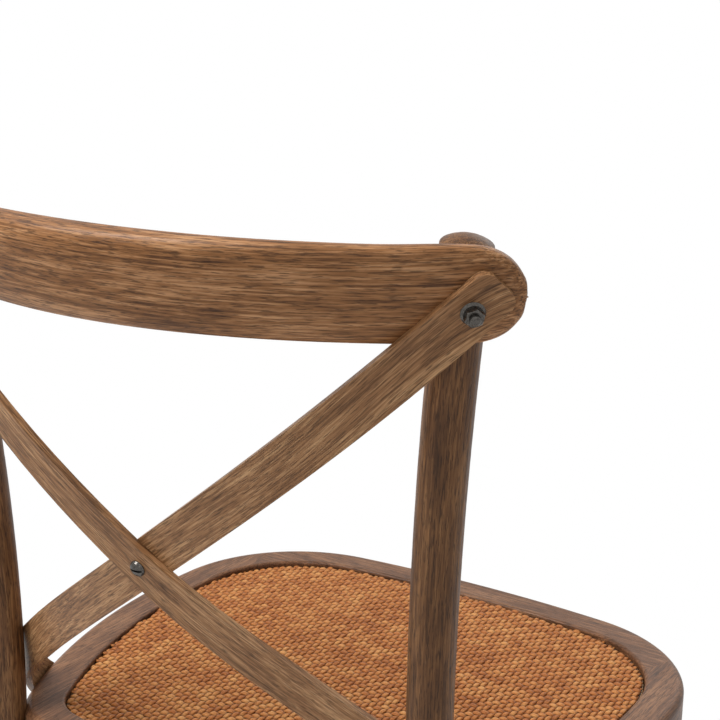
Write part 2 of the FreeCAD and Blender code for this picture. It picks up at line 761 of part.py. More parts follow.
def slat_line():
    """Points of the slat's centre line, from its top end to its foot, with (point, heading) pairs."""
    line = []
    first, second = KEYS[0], KEYS[1]
    beyond = size("slat_top_end")
    fall = first[3]
    flat = beyond / math.hypot(1, fall)
    turn = flat / size("crest_radius")
    back = Rotation(UP, math.degrees(turn)).multVec(first[1])
    line.append((first[0] - (first[1] + back) * (flat / 2) + UP * (first[2] + fall * flat), back))
    for start, end in zip(KEYS, KEYS[1:]):
        span = (end[0] - start[0]).Length
        bend = start[1].getAngle(end[1])
        length = span * (1 + bend * bend / 24)
        steps = max(1, round(span / SLAT_STEP))
        for number in range(steps):
            share = number / steps
            plan = hermite(start[0], start[1] * length, end[0], end[1] * length, share)
            ahead = hermite(start[0], start[1] * length, end[0], end[1] * length, share + 0.01) - plan
            height = hermite(start[2], -start[3] * length, end[2], -end[3] * length, share)
            line.append((plan + UP * height, ahead.normalize()))
    last = KEYS[-1]
    line.append((last[0] + UP * last[2], last[1]))
    end_turn = CONTACT_TURN - FOOT_TURN - END_TURN
    line.append((beside_seat(end_turn) + UP * (last[2] - last[3] * size("slat_foot_end")),
                 heading(math.degrees(end_turn) - 90)))
    return line


def lean_at(point, ahead):
    """How the slat's face leans: square to the rail at the top, upright beside the seat."""
    normal = Vector(-ahead.y, ahead.x, 0)
    if point.z > CROSSING_HEIGHT:
        share = (point.z - CROSSING_HEIGHT) / (KEYS[0][2] - CROSSING_HEIGHT)
        share = min(1.0, max(0.0, share))
        tilt = LEAN + (TILT - LEAN) * share
        lean = Vector(0, math.tan(tilt), 0) * (1 - share) + normal * (math.tan(tilt) * share)
    else:
        share = (point.z - CONTACT_HEIGHT) / (CROSSING_HEIGHT - CONTACT_HEIGHT)
        share = min(1.0, max(0.0, share))
        lean = Vector(0, math.tan(LEAN) * (1 - (1 - share) ** size("slat_untwist")), 0)
    return (UP + lean).normalize()


def slat_blank(side):
    """Loft of the slat's section along its line. Side 1 keeps the front slat, -1 the rear one."""
    line = slat_line()
    wires = []
    for number, (point, ahead) in enumerate(line):
        before = line[max(0, number - 1)][0]
        after = line[min(len(line) - 1, number + 1)][0]
        along = (after - before).normalize()
        across = lean_at(point, ahead)
        normal = across.cross(along).normalize()
        widthways = along.cross(normal).normalize()
        apart = abs(point.x) / size("slat_crossing_span")
        offset = max(0.0, 1 - apart * apart) ** 2 * (size("slat_thickness") + size("slat_fit_gap")) / 2
        centre = point - normal * (offset * side)
        corners = [centre + widthways * (a * size("slat_width") / 2) + normal * (b * HALF_SLAT)
                   for a, b in ((1, 1), (-1, 1), (-1, -1), (1, -1))]
        wires.append(Part.makePolygon(corners + [corners[0]]))
    return Part.makeLoft(wires, True, False)


def slat_feature(name, side):
    """The slat with its corners rounded at both ends."""
    shape = slat_blank(side)
    short = [edge for edge in shape.Edges if edge.Length < size("slat_thickness") * 1.2]
    feature = doc.addObject("Part::Feature", name)
    feature.Shape = shape.makeFillet(size("slat_corner_radius"), short)
    return feature


front_slat_blank = slat_feature("front_slat_blank", 1)
rear_slat_mirror = slat_feature("rear_slat_mirror", -1)
rear_slat_blank = mirrored("rear_slat_blank", rear_slat_mirror)

# Front legs: turned and tapered, with a tenon into the underside of the seat frame

LEG_TURN = -math.radians(size("front_leg_angle"))
FRONT_LEG = (FRONT_CORNER + Vector(math.cos(LEG_TURN), math.sin(LEG_TURN), 0)
             * (size("seat_front_corner") - size("front_leg_inset")) + Vector(0, SEAT_Y, 0))


def front_leg_centre(height):
    """Centre of the left front leg, which stands upright."""
    return FRONT_LEG + UP * height


def front_leg_radius(height):
    """Radius of the front leg's taper at a height."""
    share = (height - GLIDE) / (SEAT_BOTTOM - GLIDE)
    return (size("front_leg_foot_radius")
            + (size("front_leg_top_radius") - size("front_leg_foot_radius")) * share)


SHOULDER = "sizes.seat_height - sizes.seat_thickness"
front_leg_blank = turned_body("front_leg_blank", [
    ("0", "sizes.glide_height"),
    ("sizes.front_leg_foot_radius - sizes.foot_chamfer", "sizes.glide_height"),
    ("sizes.front_leg_foot_radius", "sizes.glide_height + sizes.foot_chamfer"),
    ("sizes.front_leg_top_radius", SHOULDER + " - sizes.shoulder_chamfer"),
    ("sizes.front_leg_top_radius - sizes.shoulder_chamfer", SHOULDER),
    ("sizes.tenon_radius", SHOULDER),
    ("sizes.tenon_radius", SHOULDER + " + sizes.tenon_length - sizes.tenon_chamfer"),
    ("sizes.tenon_radius - sizes.tenon_chamfer", SHOULDER + " + sizes.tenon_length"),
    ("0", SHOULDER + " + sizes.tenon_length"),
])
front_leg_blank.Placement.Base = FRONT_LEG
tenon_hole = drill("tenon_hole", FRONT_LEG + UP * SEAT_BOTTOM, UP,
                   "sizes.tenon_radius + sizes.thread_gap", "sizes.tenon_length + sizes.thread_gap", "1")

# Crest bolts with a domed head in front of the post and a flange nut behind the slat

HEAD_SEAT = -(leg_radius(BOLT_HEIGHT) - size("bolt_head_seat"))
NUT_SEAT = SLAT_MIDDLE + HALF_SLAT + size("slat_fit_gap")


def headed(name, radius, head_radius, head_height, head_seat, tip):
    """A bolt or screw along +Z: a domed head below head_seat, and a shank up to the tip."""
    return turned_body(name, [
        ("0", "%s - %s" % (head_seat, head_height)),
        ("0.5 * %s" % head_radius, "%s - 0.9 * %s" % (head_seat, head_height)),
        ("0.85 * %s" % head_radius, "%s - 0.55 * %s" % (head_seat, head_height)),
        (head_radius, "%s - 0.1 * %s" % (head_seat, head_height)),
        (head_radius, head_seat),
        (radius, head_seat),
        (radius, "%s - 0.5" % tip),
        ("%s - 0.5" % radius, tip),
        ("0", tip),
    ])


crest_bolt = headed("crest_bolt", "sizes.bolt_radius", "sizes.bolt_head_radius", "sizes.bolt_head_height",
                    "(%.6f)" % HEAD_SEAT, "(%.6f + sizes.nut_height + sizes.bolt_tail)" % NUT_SEAT)
at(crest_bolt, BOLT_POST, BOLT_AXIS)
bolt_hole = drill("bolt_hole", BOLT_POST - BOLT_AXIS * 40, BOLT_AXIS,
                  "sizes.bolt_radius + sizes.bolt_clearance", "120")
head_seat_cut = drill("head_seat_cut", BOLT_POST + BOLT_AXIS * HEAD_SEAT, -BOLT_AXIS,
                      "sizes.bolt_head_radius + sizes.bolt_clearance", "20")

nut_hex = doc.addObject("Part::Prism", "nut_hex")
nut_hex.Polygon = 6
bind(nut_hex, Circumradius="sizes.nut_flats / 1.7320508", Height="sizes.nut_height")
nut_crown = doc.addObject("Part::Cone", "nut_crown")
bind(nut_crown, Radius1="sizes.nut_flats / 2 + sizes.nut_height", Radius2="sizes.nut_flats / 2",
     Height="sizes.nut_height")
nut_body = common("nut_body", nut_hex, nut_crown)
nut_flange = doc.addObject("Part::Cone", "nut_flange")
bind(nut_flange, Radius1="sizes.nut_flange_radius", Height="sizes.nut_flange_height",
     Radius2="sizes.nut_flange_radius - sizes.nut_flange_height")
nut_solid = fused("nut_solid", [nut_body, nut_flange])
nut_bore = drill("nut_bore", Vector(0, 0, 0), UP, "sizes.bolt_radius + sizes.thread_gap",
                 "sizes.nut_height + 1", "1")
crest_nut = at(cut("crest_nut", nut_solid, nut_bore), BOLT_POST + BOLT_AXIS * NUT_SEAT, BOLT_AXIS)

# The screw where the slats cross, with its slotted head behind and a low sleeve nut in front

CROSSING = Vector(0, size("crossing_place") + SEAT_Y, CROSSING_HEIGHT)
CROSS_AXIS = Vector(0, -math.cos(LEAN), math.sin(LEAN))
STACK = "(sizes.slat_thickness + 1.5 * sizes.slat_fit_gap)"
cross_screw_body = headed("cross_screw_body", "sizes.cross_screw_radius", "sizes.cross_head_radius",
                          "sizes.cross_head_height", "-" + STACK, STACK + " + sizes.cross_nut_height")
slot = doc.addObject("Part::Box", "slot")
bind(slot, Length="2.5 * sizes.cross_head_radius", Width="sizes.cross_slot_width",
     Height="sizes.cross_head_height / 2")
SLOT_FLOOR = -evaluate(STACK) - size("cross_head_height")
slot.Placement.Base = Vector(-1.25 * size("cross_head_radius"), -size("cross_slot_width") / 2, SLOT_FLOOR)
crossing_screw = at(cut("crossing_screw", cross_screw_body, slot), CROSSING, CROSS_AXIS)
cross_nut_blank = turned_body("cross_nut_blank", [
    ("sizes.cross_screw_radius + sizes.thread_gap", STACK),
    ("sizes.cross_nut_radius", STACK),
    ("sizes.cross_nut_radius", STACK + " + 0.6 * sizes.cross_nut_height"),
    ("sizes.cross_nut_radius - 0.8", STACK + " + sizes.cross_nut_height"),
    ("sizes.cross_screw_radius + sizes.thread_gap", STACK + " + sizes.cross_nut_height"),
])
cross_nut_blank.Label = "crossing_nut"
crossing_nut = at(cross_nut_blank, CROSSING, CROSS_AXIS)
cross_hole = drill("cross_hole", CROSSING - CROSS_AXIS * 15, CROSS_AXIS,
                   "sizes.cross_screw_radius + sizes.bolt_clearance", "30")

# Wood screws: every one is the same turned body, put in place by its head's seat and direction

SCREW_HOLE = "sizes.screw_radius + sizes.thread_gap"


def screw(name, seat, direction, head_radius="sizes.screw_head_radius", length="sizes.screw_length"):
    """A screw whose head bears at the seat and whose shank runs along the direction, and its hole."""
    body = headed(name, "sizes.screw_radius", head_radius, "sizes.screw_head_height", "0", length)
    hole = drill(name + "_hole", seat, direction, SCREW_HOLE, "%s + 0.5" % length, "1")
    return at(body, seat, direction), hole


foot_turn = CONTACT_TURN - FOOT_TURN
foot_out = Vector(math.cos(foot_turn), math.sin(foot_turn), 0)
foot_seat = beside_seat(foot_turn) + foot_out * HALF_SLAT + UP * SCREW_HEIGHT
foot_screw, foot_hole = screw("foot_screw", foot_seat, -foot_out, "sizes.foot_screw_head_radius",
                              "sizes.screw_length")

# Leg bolts: from the outer side of each rear leg into the corner of the seat frame

LEG_AT_SEAT = leg_centre(LEDGE_MIDDLE)
CORNER_MIDDLE = REAR_CORNER + Vector(0, SEAT_Y, LEDGE_MIDDLE)
INWARD = Vector(CORNER_MIDDLE.x - LEG_AT_SEAT.x, CORNER_MIDDLE.y - LEG_AT_SEAT.y, 0).normalize()
leg_bolt = headed("leg_bolt", "sizes.leg_bolt_radius", "sizes.leg_bolt_head_radius",
                  "sizes.leg_bolt_head_height", "(sizes.leg_bolt_sink - sizes.leg_seat_radius)",
                  "(sizes.leg_seat_radius + sizes.leg_bolt_grip)")
at(leg_bolt, LEG_AT_SEAT, INWARD)
leg_bolt_hole = drill("leg_bolt_hole", LEG_AT_SEAT, INWARD, "sizes.leg_bolt_radius + sizes.thread_gap",
                      "sizes.leg_seat_radius + sizes.leg_bolt_grip + 1", "sizes.leg_seat_radius + 5")
LEG_BOLT_SEAT = LEG_AT_SEAT + INWARD * (size("leg_bolt_sink") - size("leg_seat_radius"))
leg_bolt_seat = drill("leg_bolt_seat", LEG_BOLT_SEAT, -INWARD,
                      "sizes.leg_bolt_head_radius + sizes.bolt_clearance", "20")

# Bentwood arches: each is a bent strip from leg to leg that bears on the underside of the seat


def bent_chain(points, radius):
    """Lines and arcs through four points, with the two inner corners bent to a radius."""
    pieces = []
    starts = [points[0]]
    for before, corner, after in zip(points, points[1:], points[2:]):
        back = (before - corner).normalize()
        ahead = (after - corner).normalize()
        half_turn = back.getAngle(ahead) / 2
        reach = radius / math.tan(half_turn)
        middle = corner + (back + ahead).normalize() * (radius / math.sin(half_turn))
        crest = middle + (corner - middle).normalize() * radius
        entry = corner + back * reach
        leave = corner + ahead * reach
        pieces.append(Part.LineSegment(starts[-1], entry))
        pieces.append(Part.Arc(entry, crest, leave))
        starts.append(leave)
    pieces.append(Part.LineSegment(starts[-1], points[-1]))
    return pieces


def leg_face(centre, radius, toward, middle, height):
    """Distance from the arch's middle to the near face of a leg, along the arch."""
    return (centre(height) - middle).dot(toward) - radius(height) - size("arch_leg_gap")


def chord(centre, radius, toward, middle, low, high):
    """Two face distances, at the foot and at the seat, of a straight line clear of the leg."""
    at_low = leg_face(centre, radius, toward, middle, low)
    at_high = leg_face(centre, radius, toward, middle, high)
    slope = (at_high - at_low) / (high - low)
    inside = 0.0
    for step in range(9):
        height = low + (high - low) * step / 8
        inside = max(inside, at_low + slope * (height - low)
                     - leg_face(centre, radius, toward, middle, height))
    return at_low - inside, at_low - inside + slope * (SEAT_BOTTOM - low)


def arch(name, first, second, drop):
    """An arch between two legs, each given as (centre, radius), with its four screws and holes."""
    foot_height = SEAT_BOTTOM - size(drop)
    bend_start = SEAT_BOTTOM - size("arch_bend_radius")
    level = Vector(0, 0, (foot_height + bend_start) / 2)
    start = first[0](level.z) - level
    end = second[0](level.z) - level
    toward = (end - start).normalize()
    middle = (start + end) / 2
    first_low, first_high = chord(first[0], first[1], -toward, middle, foot_height, bend_start)
    second_low, second_high = chord(second[0], second[1], toward, middle, foot_height, bend_start)
    outer = [Vector(-first_low, foot_height, 0), Vector(-first_high, SEAT_BOTTOM, 0),
             Vector(second_high, SEAT_BOTTOM, 0), Vector(second_low, foot_height, 0)]
    thick = size("arch_thickness")
    first_line = (outer[1] - outer[0]).normalize()
    second_line = (outer[2] - outer[3]).normalize()
    first_in = Vector(first_line.y, -first_line.x, 0)
    second_in = Vector(-second_line.y, second_line.x, 0)
    under = SEAT_BOTTOM - thick
    inner = [outer[0] + first_in * thick, None, None, outer[3] + second_in * thick]
    inner[1] = inner[0] + first_line * ((under - inner[0].y) / first_line.y)
    inner[2] = inner[3] + second_line * ((under - inner[3].y) / second_line.y)

    body = doc.addObject("PartDesign::Body", name + "_blank")
    sketch = sketch_on(body, name + "_side", "XZ_Plane")
    pieces = bent_chain(outer, size("arch_bend_radius"))
    pieces.append(Part.LineSegment(outer[-1], inner[-1]))
    pieces += bent_chain(inner[::-1], size("arch_bend_radius") - thick)
    pieces.append(Part.LineSegment(inner[0], outer[0]))
    for piece in pieces:
        sketch.addGeometry(piece, False)
    for number, radius in ((1, "sizes.arch_bend_radius"), (3, "sizes.arch_bend_radius"),
                           (7, "sizes.arch_bend_radius - sizes.arch_thickness"),
                           (9, "sizes.arch_bend_radius - sizes.arch_thickness")):
        bend = sketch.addConstraint(Sketcher.Constraint("Radius", number, evaluate(radius)))
        sketch.setExpression("Constraints[%d]" % bend, radius)
    pad = body.newObject("PartDesign::Pad", name + "_pad")
    pad.Profile = sketch
    pad.Midplane = True
    bind(pad, Length="sizes.arch_width")
    sketch.Visibility = False
    half_width = size("arch_width") / 2
    rounded(body, name + "_round", "sizes.arch_edge_round",
            lambda point: abs(abs(point.y) - half_width) < 0.01)
    body.Placement = Placement(middle, Rotation(Vector(1, 0, 0), toward))

    def in_place(plan):
        return middle + toward * plan.x + UP * plan.y

    screws, leg_holes, seat_holes = [], [], []
    rise = size("arch_screw_rise")
    ends = (("first", inner[0] + first_line * rise, first_in),
            ("second", inner[3] + second_line * rise, second_in))
    for label, seat, inward in ends:
        direction = -(toward * inward.x + UP * inward.y)
        piece, hole = screw("%s_%s_screw" % (name, label), in_place(seat), direction)
        screws.append(piece)
        leg_holes.append(hole)
    bolts = []
    for number, side in enumerate((-1, 1)):
        seat = middle + toward * (side * size("arch_seat_screw_half_spacing")) + UP * under
        piece, hole = screw("%s_seat_screw_%d" % (name, number), seat, UP)
        bolts.append(piece)
        seat_holes.append(hole)
    return cut(name, body, *(leg_holes + seat_holes)), screws, leg_holes, bolts, seat_holes


def other_side(centre):
    """The same leg's centre on the right side."""
    return lambda height: flipped(centre(height))


left_front = (front_leg_centre, front_leg_radius)
right_front = (other_side(front_leg_centre), front_leg_radius)
left_rear = (leg_centre, leg_radius)
right_rear = (other_side(leg_centre), leg_radius)
arch_front, front_screws, front_leg_holes, front_bolts, front_seat_holes = arch(
    "arch_front", right_front, left_front, "arch_drop")
arch_rear, rear_screws, rear_leg_holes, rear_bolts, rear_seat_holes = arch(
    "arch_rear", right_rear, left_rear, "arch_drop")
arch_left, side_screws, side_leg_holes, side_bolts, side_seat_holes = arch(
    "arch_left", left_front, left_rear, "side_arch_drop")
arch_right = mirrored("arch_right", arch_left)

# Glides: discs with a pin into the end grain of each leg

REAR_FOOT = leg_centre(GLIDE)


def glide(name, foot, leg_foot_radius):
    """A glide under a foot, and the hole for its pin."""
    body = turned_body(name, [
        ("0", "0"),
        ("%s - sizes.glide_margin - 1" % leg_foot_radius, "0"),
        ("%s - sizes.glide_margin" % leg_foot_radius, "1"),
        ("%s - sizes.glide_margin" % leg_foot_radius, "sizes.glide_height"),
        ("sizes.glide_pin_radius", "sizes.glide_height"),
        ("sizes.glide_pin_radius", "sizes.glide_height + sizes.glide_pin_length"),
        ("0", "sizes.glide_height + sizes.glide_pin_length"),
    ])
    ground = Vector(foot.x, foot.y, 0)
    body.Placement.Base = ground
    hole = drill(name + "_hole", ground + UP * GLIDE, UP, "sizes.glide_pin_radius + sizes.thread_gap",
                 "sizes.glide_pin_length + 0.5", "1")
    return body, hole


front_glide, front_glide_hole = glide("front_glide", FRONT_LEG, "sizes.front_leg_foot_radius")
rear_glide, rear_glide_hole = glide("rear_glide", REAR_FOOT, "sizes.leg_foot_radius")

# Board screws, up through the ledge into the board


def on_arc(centre, radius, side, half_spread):
    """Plan point at a distance from the middle plane, on an arc about a centre on that plane."""
    return Vector(half_spread, centre.y + side * math.sqrt(radius ** 2 - half_spread ** 2) + SEAT_Y, 0)


board_screws, board_holes = [], []
for label, centre, radius, side in (("front", FRONT, "seat_front_radius", -1),
                                    ("rear", REAR, "seat_rear_radius", 1)):
    half_spread = size("%s_board_screw_half_spread" % label)
    place = on_arc(centre, size(radius) - size("board_screw_inset"), side, half_spread)
    piece, hole = screw("board_%s_screw" % label, place + UP * SEAT_BOTTOM, UP,
                        length="sizes.board_screw_length")
    board_screws.append(piece)
    board_holes.append(hole)


# Holes and notches, then the finished pieces

def both_sides(members):
    """The members and their mirror images."""
    return members + [mirrored(member.Name + "_right", member) for member in members]


left_holes = [tenon_hole, foot_hole, leg_bolt_hole] + side_seat_holes + board_holes
seat_holes = fused("seat_holes", both_sides(left_holes) + front_seat_holes + rear_seat_holes)
seat_rail_front = cut("seat_rail_front", front_blank, seat_dowels, seat_holes)
seat_rail_rear = cut("seat_rail_rear", rear_blank, seat_dowels, seat_holes)
seat_rail_left = cut("seat_rail_left", left_blank, seat_dowels, seat_holes, leg_blank)
seat_rail_right = mirrored("seat_rail_right", seat_rail_left)

board_tool = fused("board_tool", both_sides(board_holes))
seat_board = cut("seat_board", board_blank, board_tool)

rear_leg_left = cut("rear_leg_left", leg_blank, crest_blank, bolt_hole, head_seat_cut, leg_bolt_hole,
                    leg_bolt_seat, rear_leg_holes[1], side_leg_holes[1], rear_glide_hole)
rear_leg_right = mirrored("rear_leg_right", rear_leg_left)
front_leg_left = cut("front_leg_left", front_leg_blank, front_leg_holes[1], side_leg_holes[0],
                     front_glide_hole)
front_leg_right = mirrored("front_leg_right", front_leg_left)

bolt_hole_right = mirrored("bolt_hole_right", bolt_hole)
crest_rail = cut("crest_rail", crest_blank, bolt_hole, bolt_hole_right)
foot_hole_right = mirrored("foot_hole_right", foot_hole)
cross_slat_right = cut("cross_slat_right", front_slat_blank, bolt_hole_right, cross_hole, foot_hole)
cross_slat_left = cut("cross_slat_left", rear_slat_blank, bolt_hole, cross_hole, foot_hole_right)

NODES = {
    "seat_rail_front": seat_rail_front,
    "seat_rail_rear": seat_rail_rear,
    "seat_rail_left": seat_rail_left,
    "seat_rail_right": seat_rail_right,
    "seat_dowels": seat_dowels,
    "seat_board": seat_board,
    "rattan_panel": rattan_panel,
    "rear_leg_left": rear_leg_left,
    "rear_leg_right": rear_leg_right,
    "front_leg_left": front_leg_left,
    "front_leg_right": front_leg_right,
    "crest_rail": crest_rail,
    "cross_slat_left": cross_slat_left,
    "cross_slat_right": cross_slat_right,
    "crest_bolts": group("crest_bolts", both_sides([crest_bolt])),
    "crest_nuts": group("crest_nuts", both_sides([crest_nut])),
    "crossing_screw": crossing_screw,
    "crossing_nut": crossing_nut,
    "slat_foot_screws": group("slat_foot_screws", both_sides([foot_screw])),
    "leg_bolts": group("leg_bolts", both_sides([leg_bolt])),
    "arch_front": arch_front,
    "arch_rear": arch_rear,
    "arch_left": arch_left,
    "arch_right": arch_right,
    "arch_leg_screws": group("arch_leg_screws", front_screws + rear_screws + both_sides(side_screws)),
    "arch_seat_screws": group("arch_seat_screws", front_bolts + rear_bolts + both_sides(side_bolts)),
    "board_screws": group("board_screws", both_sides(board_screws)),
    "leg_glides": group("leg_glides", both_sides([front_glide, rear_glide])),
}

doc.recompute()

# Every object has to be sound before anything is written
for thing in doc.Objects:
    if "Invalid" in thing.State or "Error" in thing.State:
        raise RuntimeError("%s did not recompute: %s" % (thing.Name, thing.State))
for name, thing in NODES.items():
    shape = thing.Shape
    if shape.isNull() or not shape.isValid() or not shape.Solids:
        raise RuntimeError("%s has no sound solid" % name)

os.makedirs("parts", exist_ok=True)
for name, thing in NODES.items():
    thing.Shape.exportStep("parts/%s.step" % name)
    print("%s: %d solid(s), %.1f cm3" % (name, len(thing.Shape.Solids), thing.Shape.Volume / 1000))
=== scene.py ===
"""Looks of a cross back dining chair: stained oak all over, and a seat woven from rattan.

Lengths are in metres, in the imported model's frame: +Z is up, the sitter faces -Y and has +X on the left.
"""

import math

import bpy
import numpy as np
from mathutils import Matrix, Vector, geometry


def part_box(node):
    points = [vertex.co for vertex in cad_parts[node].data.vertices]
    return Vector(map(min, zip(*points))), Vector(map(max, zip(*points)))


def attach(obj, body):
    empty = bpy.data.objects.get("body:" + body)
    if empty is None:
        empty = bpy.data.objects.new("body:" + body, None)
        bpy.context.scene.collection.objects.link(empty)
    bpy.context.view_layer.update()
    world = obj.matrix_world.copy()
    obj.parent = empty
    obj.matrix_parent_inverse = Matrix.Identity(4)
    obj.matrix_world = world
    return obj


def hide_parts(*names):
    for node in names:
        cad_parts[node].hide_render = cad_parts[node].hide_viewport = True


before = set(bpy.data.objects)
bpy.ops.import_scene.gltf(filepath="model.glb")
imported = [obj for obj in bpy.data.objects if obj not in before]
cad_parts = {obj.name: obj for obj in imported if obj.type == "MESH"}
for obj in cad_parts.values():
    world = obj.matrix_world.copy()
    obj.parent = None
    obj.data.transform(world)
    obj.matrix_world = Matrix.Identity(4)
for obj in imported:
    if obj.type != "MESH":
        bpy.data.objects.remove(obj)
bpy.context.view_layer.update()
MM = 0.001

# Seat panel: a crown of one large radius, whose highest point is over the seat's own middle
SEAT_MIDDLE_Y = -0.058
CROWN_RADIUS = 4.2
PANEL_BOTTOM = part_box("rattan_panel")[0].z
PANEL_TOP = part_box("rattan_panel")[1].z

# Woven rattan: columns run from front to back, rows from side to side. A strand is an ellipse in section,
# wider by the bulge where it floats on top. It dips a little at the rim, and strays from its line.
COLUMN_PITCH = 4.0 * MM
ROW_PITCH = 4.6 * MM
STRAND_THICKNESS = 2.6 * MM
COLUMN_WIDTH = 3.8 * MM
ROW_WIDTH = 4.1 * MM
BULGE = 0.15
STRAND_SIDES = 6
STEPS_PER_CROSSING = 3
PANEL_EDGE_GAP = 0.9 * MM
END_DIP = 0.7 * MM
END_DIP_LENGTH = 6.0 * MM
STRAND_WANDER = 0.22 * MM
WANDER_LENGTH = 34.0 * MM
LIFT_WANDER = 0.12 * MM
WIDTH_SPREAD = 0.06
SHORTEST_STRAND = 12.0 * MM
WEAVE_SEED = 40

# The dark sheet under the weave, painted shade for the gaps between the strands: its place from the panel's
# top and bottom and from its outline
BACKING_DROP = 3.4 * MM
BACKING_BASE = 0.4 * MM
BACKING_EDGE_GAP = 0.5 * MM
BACKING_SHARES = (0.2, 0.4, 0.6, 0.8, 0.9, 0.96, 1.0)


# Meshes

def corners(node):
    """The corners of a CAD node's mesh, as an array of points."""
    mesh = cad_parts[node].data
    points = np.empty(len(mesh.vertices) * 3)
    mesh.vertices.foreach_get("co", points)
    return points.reshape(-1, 3)


def make_piece(name, points, faces, finish, smooth=True):
    """A piece from an array of points and a list of arrays of faces, each with its own count of corners."""
    mesh = bpy.data.meshes.new(name)
    loops = np.concatenate([part.ravel() for part in faces]).astype(np.int32)
    totals = np.concatenate([np.full(len(part), part.shape[1]) for part in faces]).astype(np.int32)
    mesh.vertices.add(len(points))
    mesh.vertices.foreach_set("co", np.asarray(points, np.float32).ravel())
    mesh.loops.add(len(loops))
    mesh.loops.foreach_set("vertex_index", loops)
    mesh.polygons.add(len(totals))
    mesh.polygons.foreach_set("loop_start", np.concatenate([[0], np.cumsum(totals)[:-1]]).astype(np.int32))
    mesh.polygons.foreach_set("loop_total", totals)
    mesh.polygons.foreach_set("use_smooth", np.full(len(totals), smooth))
    mesh.update(calc_edges=True)
    mesh.validate()
    mesh.materials.append(finish)
    piece = bpy.data.objects.new(name, mesh)
    bpy.context.scene.collection.objects.link(piece)
    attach(piece, "root")
    return piece


def panel_outline():
    """The panel's outline seen from above, as corners in order."""
    flat = [Vector(point[:2]) for point in corners("rattan_panel")]
    return np.array([flat[number] for number in geometry.convex_hull_2d(flat)])


def crown(x, y):
    """Height of the panel's top: a sphere of the crown's radius under the highest point."""
    away = x ** 2 + (y - SEAT_MIDDLE_Y) ** 2
    return PANEL_TOP - CROWN_RADIUS + np.sqrt(CROWN_RADIUS ** 2 - away)


def reach(outline, axis, place):
    """Where a line at a place on one axis enters and leaves the outline, or None if it misses it."""
    start, end = outline, np.roll(outline, -1, axis=0)
    before, after = start[:, axis] - place, end[:, axis] - place
    crossed = before * after < 0
    if crossed.sum() < 2:
        return None
    share = before[crossed] / (before[crossed] - after[crossed])
    other = start[crossed, 1 - axis] + share * (end[crossed, 1 - axis] - start[crossed, 1 - axis])
    return other.min() + PANEL_EDGE_GAP, other.max() - PANEL_EDGE_GAP


def wander(chance, length, amount, wave):
    """A smooth random curve along a strand: cosine blends between chance values one wave apart."""
    knots = chance.uniform(-amount, amount, int(length[-1] / wave) + 3)
    place = length / wave
    low = place.astype(int)
    share = (1 - np.cos(np.pi * (place - low))) / 2
    return knots[low] * (1 - share) + knots[low + 1] * share


def float_wave(phase):
    """Height of a twill strand, from -1 to 1: a cosine that goes over two crossings, then under two."""
    return np.cos(np.pi * phase / 2)


def strand(chance, axis, number, outline):
    """One strand as rings of points: an ellipse carried along a line that floats over two and under two.
    axis is 1 for a column and 0 for a row. Returns the rings, as (rings, sides, 3), and each ring's height in
    the wave, or two times None for a very short strand."""
    pitch, crossing = (COLUMN_PITCH, ROW_PITCH) if axis else (ROW_PITCH, COLUMN_PITCH)
    middle = 0.0 if axis else SEAT_MIDDLE_Y
    ends = reach(outline, 1 - axis, middle + number * pitch)
    if ends is None or ends[1] - ends[0] < SHORTEST_STRAND:
        return None, None
    steps = int((ends[1] - ends[0]) / crossing * STEPS_PER_CROSSING)
    run = np.linspace(ends[0], ends[1], steps)
    length = run - ends[0]
    aside = middle + number * pitch + wander(chance, length, STRAND_WANDER, WANDER_LENGTH)
    crossings = (run - (SEAT_MIDDLE_Y if axis else 0.0)) / crossing
    column, row = (number, crossings) if axis else (crossings, number)
    wave = float_wave(column - row - 0.5) * (1 if axis else -1)
    lift = wave * STRAND_THICKNESS / 2
    x, y = (aside, run) if axis else (run, aside)
    to_end = np.minimum(length, length[-1] - length)
    dip = END_DIP * np.clip(1 - to_end / END_DIP_LENGTH, 0, 1) ** 2
    z = (crown(x, y) - STRAND_THICKNESS + lift - dip
         + wander(chance, length, LIFT_WANDER, WANDER_LENGTH) - LIFT_WANDER)
    width = COLUMN_WIDTH if axis else ROW_WIDTH
    width = width * (1 + chance.uniform(-WIDTH_SPREAD, WIDTH_SPREAD) + BULGE * wave)
    turn = np.arange(STRAND_SIDES) * 2 * np.pi / STRAND_SIDES
    side = np.array((1, 0, 0)) if axis else np.array((0, -1, 0))
    section = (np.cos(turn)[:, None] * side * width[:, None, None] / 2
               + np.sin(turn)[:, None] * np.array((0, 0, 1)) * STRAND_THICKNESS / 2)
    line = np.stack([np.broadcast_to(x, run.shape), np.broadcast_to(y, run.shape), z], axis=1)
    return line[:, None, :] + section, wave


def weave(name, axis, numbers, finish, outline):
    """A group of strands as one piece: quads between the rings, and a cap at each end."""
    chance = np.random.default_rng(WEAVE_SEED + axis)
    points, quads, caps, tones, heights = [], [], [], [], []
    count = 0
    for number in numbers:
        rings, wave = strand(chance, axis, number, outline)
        if rings is None:
            continue
        total = len(rings)
        index = count + np.arange(total * STRAND_SIDES).reshape(total, STRAND_SIDES)
        beside = np.roll(index, -1, axis=1)
        quads.append(np.stack([index[:-1], index[1:], beside[1:], beside[:-1]], axis=2).reshape(-1, 4))
        caps.append(np.stack([index[0], index[-1][::-1]]))
        points.append(rings.reshape(-1, 3))
        tones.append(np.full(total * STRAND_SIDES, chance.uniform(0, 1)))
        heights.append(np.repeat(wave, STRAND_SIDES))
        count += total * STRAND_SIDES
    piece = make_piece(name, np.concatenate(points), [np.concatenate(quads), np.concatenate(caps)],
                       finish)
    for label, values in [("strand_tone", tones), ("strand_height", heights)]:
        store = piece.data.attributes.new(label, "FLOAT", "POINT")
        store.data.foreach_set("value", np.concatenate(values).astype(np.float32))
    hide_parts("rattan_panel")
    return piece


